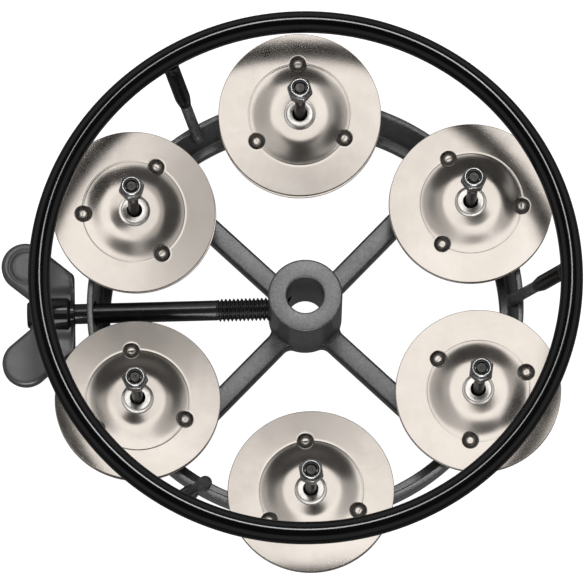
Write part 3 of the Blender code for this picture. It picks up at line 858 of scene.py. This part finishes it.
def disc_rise(radius):
    """Height of the sheet over its rim: a flat rim, a crisp fold, a curved wall and a flat crown."""
    rim = DISC_RIM_RISE * (DISC_RADIUS - radius) / (DISC_RADIUS - DISC_FOLD_RADIUS)
    foot = DISC_RIM_RISE - 0.02
    wall = foot + (DISC_CROWN - foot) * (1 - smoothstep(DISC_CROWN_RADIUS, DISC_FOLD_RADIUS + 0.1, radius))
    blend = smoothstep(DISC_FOLD_RADIUS - 0.1, DISC_FOLD_RADIUS + 0.2, radius)
    crease = DISC_CREASE_DEPTH * math.exp(-((radius - DISC_FOLD_RADIUS) / DISC_CREASE_WIDTH) ** 2)
    return wall * (1 - blend) + rim * blend - crease


def dimple_depth(away):
    """Height of a round pressed dimple, below 0, with a bead standing at its centre."""
    if away > DIMPLE_RADIUS:
        return 0.0
    wall = -DIMPLE_DEPTH * (1 - smoothstep(DIMPLE_FLOOR_RADIUS, DIMPLE_RADIUS, away))
    return wall + BEAD_HEIGHT * (1 - smoothstep(BEAD_TOP_RADIUS, BEAD_RADIUS, away))


def dimple_spots(phase):
    """Middles of a disc's three dimples. The phase is the first one's direction in degrees."""
    return [polar(DIMPLE_CENTRE, math.radians(phase + 120 * k)) for k in range(3)]


def make_disc(phase):
    """One disc, cup upwards, its rim's underside at height 0, pressed with three dimples."""
    # Directions and radii of the mesh's lines lie closer together across the dimples and the fold.
    turns = set()
    for k in range(3):
        centre = phase + 120.0 * k
        turns.update(round(centre + 0.9 * i, 3) % 360.0 for i in range(-12, 13))
        turns.update(round(centre + 10.8 + 98.4 * i / 32, 3) % 360.0 for i in range(1, 32))
    turns = sorted(turns)
    radii = [DISC_RADIUS - 0.10, DISC_RADIUS - 0.16, 19.2, 17.6, 16.2, 15.4]
    radii += [15.1 - 0.2 * k for k in range(9)]
    radii += [13.4 - 0.1 * k for k in range(10)]
    radii += [12.4 - 0.2 * k for k in range(11)]
    radii += [10.0 - 0.5 * k for k in range(9)]
    radii += [5.4, 4.6, 3.5, DISC_HOLE_RADIUS + 0.1]
    dimples = dimple_spots(phase)

    def row(radius, lift, pressed=True):
        made = []
        for turn in turns:
            x, y = polar(radius, math.radians(turn))
            dent = sum(dimple_depth(math.hypot(x - u, y - v)) for u, v in dimples) if pressed else 0.0
            made.append((x, y, disc_rise(radius) + dent + lift))
        return made

    rows = [row(radius, DISC_SHEET) for radius in radii]
    rows.append(row(DISC_HOLE_RADIUS, DISC_SHEET - 0.1))
    rows.append(row(DISC_HOLE_RADIUS, 0.1))
    rows += [row(radius, 0.0) for radius in reversed(radii)]
    for inset, height in ((0.04, 0.03), (0.0, 0.09), (0.0, 0.41), (0.04, 0.47)):
        rows.append(row(DISC_RADIUS - inset, height, False))
    return grid(rows, close_rows=True)


def dimple_shade_faces(disc, phase):
    """Numbers of a disc's faces that form the walls of its dimples, on its upper side, where the shade is
    painted.
    """
    points, faces = disc
    found = []
    for number, face in enumerate(faces):
        x, y, z = [sum(points[index][axis] for index in face) / len(face) for axis in range(3)]
        for u, v in dimple_spots(phase):
            away = math.hypot(x - u, y - v)
            upper_side = z - disc_rise(math.hypot(x, y)) - dimple_depth(away) > DISC_SHEET / 2
            if SHADE_START < away < SHADE_END and upper_side:
                found.append(number)
    return found


def make_eyelet():
    """Rolled eyelet: a rounded flange with a lip over the sheet, a neck, and a flange under it."""
    under, over = DISC_CUP_RISE - 0.15, DISC_CROWN + DISC_SHEET + 0.08
    profile = rounded((
        (1.75, over + 0.50, 0.15),
        (1.88, over + 0.72, 0.12),
        (3.30, over + 0.72, 0.18),
        (3.38, over + 0.42, 0.08),
        (3.95, over + 0.36, 0.12),
        (4.0, over, 0.05),
        (EYELET_NECK_RADIUS, over, 0.0),
        (EYELET_NECK_RADIUS, under, 0.0),
        (3.7, under, 0.2),
        (3.7, -EYELET_REACH, 0.35),
        (EYELET_BORE_RADIUS, -EYELET_REACH, 0.3),
    ), 5)
    return revolved(profile, 56, closed=True)


def make_jingles():
    """Two discs with their eyelets at each station, the lower one turned over to face the upper."""
    eyelet = make_eyelet()
    for number, spot in station_spots():
        lower_lean, upper_lean, dimple = SETTLED[number]
        for level, (lean_x, lean_y), height, side, phase in (
                ("upper", upper_lean, UPPER_PIVOT, 1.0, dimple),
                ("lower", lower_lean, LOWER_PIVOT + LOWER_CLEARANCE, -1.0, dimple + LOWER_TURN)):
            lean = (Matrix.Rotation(math.radians(-lean_y), 4, "X")
                    @ Matrix.Rotation(math.radians(lean_x), 4, "Y"))
            seat = (Matrix.Translation(spot + UP * height) @ lean
                    @ Matrix.Diagonal((1.0, 1.0, side, 1.0))
                    @ Matrix.Translation((0.0, 0.0, -EYELET_MIDDLE)))
            disc = make_disc(phase)
            body = f"{level}_{number}"
            item = piece(f"{level}_disc_{number}", Shell().add(disc, seat), NICKEL,
                         body, f"{level}_jingle_{number}", "nickel", 60)
            # The walls of the dimples get a very dark nickel: painted shade.
            item.data.materials.append(PAINTED_SHADE_NICKEL)
            for face in dimple_shade_faces(disc, phase):
                item.data.polygons[face].material_index = 1
            piece(f"{level}_rivet_{number}", Shell().add(eyelet, seat), BRIGHT_NICKEL,
                  body, f"{level}_eyelet_{number}", "bright_nickel", 50)


# ---------------------------------------------------------------- pins and lock nuts

def make_pin():
    """A pan-headed M3 pin: hex recess underneath, plain shank, thread at the top."""
    steps = 32

    def limit(height):
        return min(PIN_RADIUS, PIN_TIP_RADIUS + max(0.0, PIN_TOP - height) * 0.7)

    corner_reach = 2 * PIN_KEY_HALF
    rows = [circle(0.95, PIN_HEAD_BOTTOM + PIN_KEY_DEPTH, steps)]
    for height in (PIN_KEY_DEPTH, 0.12):
        rows.append(hexagonal(PIN_KEY_HALF, corner_reach, PIN_HEAD_BOTTOM + height, steps))
    rows.append(circle(1.35, PIN_HEAD_BOTTOM, steps))
    for inset, height in ((0.45, 0.0), (0.15, 0.1), (0.0, 0.4), (0.0, 1.5), (0.12, 1.7)):
        rows.append(circle(PIN_HEAD_RADIUS - inset, PIN_HEAD_BOTTOM + height, steps))
    for fillet, height in ((0.2, 0.0), (0.0, 0.2), (0.0, 8.0), (0.0, 16.0)):
        rows.append(circle(PIN_RADIUS + fillet, PIN_HEAD_TOP + height, steps))
    rows += threaded(PIN_THREAD_START, PIN_TOP, PIN_THREAD_PITCH,
                     PIN_RADIUS, PIN_THREAD_ROOT, steps, 8, limit)
    rows.append(circle(PIN_TIP_RADIUS - 0.12, PIN_TOP, steps))
    rows.append(circle(0.42, PIN_TOP, steps))
    rows.append(circle(0.34, PIN_TOP - 0.15, steps))
    return capped(rows)


def make_nut():
    """A nylon-insert M3 lock nut: chamfered hexagon, round collar, lip rolled in over the insert."""
    steps = 96
    half = NUT_ACROSS_FLATS / 2
    hex_top = NUT_BOTTOM + NUT_HEX_HEIGHT

    rows = [
        circle(NUT_BORE_RADIUS, NUT_BOTTOM + 0.2, steps),
        circle(NUT_BORE_RADIUS + 0.2, NUT_BOTTOM, steps),
    ]
    for past, height in (
            (-0.1, NUT_BOTTOM),
            (0.05, NUT_BOTTOM + 0.1),
            (0.2, NUT_BOTTOM + 0.19),
            (0.5, NUT_BOTTOM + 0.36),
            (0.5, hex_top - 0.36),
            (0.2, hex_top - 0.19),
            (0.05, hex_top - 0.1),
            (-0.08, hex_top - 0.02)):
        rows.append(hexagonal(half, half + past, height, steps))
    for radius, height in (
            (NUT_COLLAR_RADIUS + 0.08, hex_top + 0.02),
            (NUT_COLLAR_RADIUS, hex_top + 0.12),
            (NUT_COLLAR_RADIUS, NUT_TOP - 0.38),
            (NUT_COLLAR_RADIUS - 0.08, NUT_TOP - 0.16),
            (NUT_COLLAR_RADIUS - 0.22, NUT_TOP - 0.03),
            (NUT_COLLAR_RADIUS - 0.34, NUT_TOP),
            (NUT_POCKET_RADIUS - 0.1, NUT_TOP - 0.04),
            (NUT_POCKET_RADIUS - 0.12, NUT_TOP - 0.16),
            (NUT_POCKET_RADIUS, NUT_TOP - 0.3),
            (NUT_POCKET_RADIUS, NUT_TOP - NUT_POCKET_DEPTH),
            (NUT_BORE_RADIUS, NUT_TOP - NUT_POCKET_DEPTH)):
        rows.append(circle(radius, height, steps))
    return grid(rows, close_rows=True)


def make_insert():
    """The nylon ring in a lock nut."""
    return revolved(rounded((
        (INSERT_BORE_RADIUS, INSERT_TOP - 0.02, 0.15),
        (INSERT_RADIUS, INSERT_TOP, 0.12),
        (INSERT_RADIUS, INSERT_BOTTOM, 0.1),
        (INSERT_BORE_RADIUS, INSERT_BOTTOM, 0.1),
    ), 4), 56, closed=True)


def make_fasteners():
    """A pin, a nut and the nut's nylon ring at each station, every nut turned differently."""
    pin, nut, ring = make_pin(), make_nut(), make_insert()
    for number, spot in station_spots():
        seat = Matrix.Translation(spot)
        turned = seat @ Matrix.Rotation(math.radians(17 * number), 4, "Z")
        piece(f"pin_{number}", Shell().add(pin, turned), PIN_BLACK,
              "frame", f"jingle_pin_{number}", "pin_black", 40)
        made = piece(f"hex_nut_{number}", Shell().add(nut, turned), ZINC,
                     "frame", f"lock_nut_{number}", "zinc", 35)
        made.data.materials.append(ZINC_LIP_HIGHLIGHT)
        # Faces above the lip's height get the lighter zinc: a painted highlight.
        for face in made.data.polygons:
            face.material_index = int(face.center.z > (NUT_TOP - NUT_LIP_HEIGHT) * MM)
        piece(f"nylon_ring_{number}", Shell().add(ring, seat), NYLON,
              "frame", f"nut_insert_{number}", "nylon", 40)


make_frame()
make_striker_ring()
make_sleeves()
make_clamp_screw()
make_wing_grip()
make_jingles()
make_fasteners()


# ---------------------------------------------------------------- floor, lights and camera

def make_floor():
    """A pale, glowing floor just under the part, which reflections and bounced light don't see."""
    mesh = bpy.data.meshes.new("floor")
    reach, low = FLOOR_REACH * MM, FLOOR_LEVEL * MM
    mesh.from_pydata([(-reach, -reach, low), (reach, -reach, low), (reach, reach, low), (-reach, reach, low)],
                     [], [(0, 1, 2, 3)])
    floor = bpy.data.objects.new("floor", mesh)
    bpy.context.collection.objects.link(floor)
    surface = bpy.data.materials.new("pale_floor")
    surface.use_nodes = True
    shader = surface.node_tree.nodes["Principled BSDF"]
    shader.inputs["Base Color"].default_value = (0.60, 0.60, 0.60, 1.0)
    shader.inputs["Roughness"].default_value = 0.9
    shader.inputs["Specular IOR Level"].default_value = 0.0
    shader.inputs["Emission Color"].default_value = (1.0, 1.0, 1.0, 1.0)
    shader.inputs["Emission Strength"].default_value = 1.0
    mesh.materials.append(surface)
    floor.visible_glossy = False
    floor.visible_diffuse = False


def panel(name, size_x, size_y, radiance):
    """A flat rectangular lamp of an even radiance, sizes in metres."""
    lamp = bpy.data.lights.new(name, "AREA")
    lamp.shape = "RECTANGLE"
    lamp.size, lamp.size_y = size_x, size_y
    lamp.energy = radiance * math.pi * size_x * size_y
    item = bpy.data.objects.new(name, lamp)
    bpy.context.collection.objects.link(item)
    return item


def area_light(name, tilt_x, tilt_y, distance, size, radiance):
    """A lamp that faces the part from the given tilts from straight up, in degrees."""
    item = panel(name, *size, radiance)
    towards = Vector((math.tan(math.radians(tilt_x)), math.tan(math.radians(tilt_y)), 1.0)).normalized()
    item.location = towards * distance
    item.rotation_euler = towards.to_track_quat("Z", "Y").to_euler()
    return item


def softbox(name, tilts_x, tilts_y, height, radiance):
    """A level lamp that fills a range of tilts from straight up, in degrees, as the part sees it."""
    left, right = [math.tan(math.radians(tilt)) * height for tilt in tilts_x]
    near, far = [math.tan(math.radians(tilt)) * height for tilt in tilts_y]
    item = panel(name, right - left, far - near, radiance)
    item.location = ((left + right) / 2, (near + far) / 2, height)
    return item


def only_on(lamp, items):
    """Let a lamp light only these pieces, as a studio does with cards beside it."""
    group = bpy.data.collections.new("lit_by_" + lamp.name)
    for item in items:
        group.objects.link(item)
    lamp.light_linking.receiver_collection = group


def make_world():
    """Surroundings that are pale near the horizon and dark above, in greys."""
    world = bpy.data.worlds.new("studio")
    bpy.context.scene.world = world
    world.use_nodes = True
    tree = world.node_tree
    background = tree.nodes["Background"]
    place = tree.nodes.new("ShaderNodeTexCoord")
    split = tree.nodes.new("ShaderNodeSeparateXYZ")
    ramp = tree.nodes.new("ShaderNodeValToRGB")
    tree.links.new(place.outputs["Generated"], split.inputs["Vector"])
    tree.links.new(split.outputs["Z"], ramp.inputs["Fac"])
    tree.links.new(ramp.outputs["Color"], background.inputs["Color"])
    elements = ramp.color_ramp.elements
    while len(elements) < len(WORLD_LEVELS):
        elements.new(0.5)
    for element, (at, level) in zip(elements, WORLD_LEVELS):
        element.position = at
        element.color = (level, level, level, 1.0)
    background.inputs["Strength"].default_value = 1.0


def make_camera():
    """At the photograph's angle: nearly overhead, tipped 16 degrees towards -Y."""
    data = bpy.data.cameras.new("camera")
    data.sensor_width = CAMERA_SENSOR
    data.lens = CAMERA_LENS
    data.clip_start, data.clip_end = 0.05, 20.0
    item = bpy.data.objects.new("camera", data)
    bpy.context.collection.objects.link(item)
    item.location = Vector(CAMERA_SPOT) * MM
    item.rotation_euler = [math.radians(turn) for turn in CAMERA_TURN]
    bpy.context.scene.camera = item


def make_lights():
    """Overhead panels that the nickel mirrors, a fine highlight for the ring, and lamps for the black."""
    meshes = [item for item in bpy.context.scene.objects if item.type == "MESH"]
    under_banks = [item for item in meshes if item.name not in ("ring_tube", "clamp_rod")]
    ring = [item for item in DULL_PIECES if item.name == "ring_tube"]
    satin = [item for item in DULL_PIECES if item.name != "ring_tube"]
    only_on(softbox("bank_wide", (-26.0, 24.0), (-9.0, 23.0), 1.6, 0.55), under_banks)
    only_on(softbox("bank_core", (-12.0, 12.0), (-9.0, 22.0), 1.55, 0.85), under_banks)
    only_on(softbox("bank_low_left", (-26.0, -7.0), (-28.0, -9.0), 1.6, 0.70), under_banks)
    only_on(softbox("bank_low_right", (9.0, 17.0), (-26.0, -9.0), 1.6, 0.50), under_banks)
    only_on(area_light("ring_key", 3.0, 21.0, 1.7, (0.32, 0.32), 20.0), ring)
    only_on(area_light("key", 3.0, 21.0, 1.7, (0.32, 0.32), 8.0), satin)
    only_on(area_light("front_fill", 0.0, -66.0, 1.3, (1.0, 0.7), 5.0), satin)
    only_on(area_light("back_bank", 0.0, 31.0, 1.6, (0.8, 0.75), 0.9), satin)


make_floor()
make_lights()
make_world()
make_camera()
bpy.context.scene.view_settings.view_transform = "Standard"
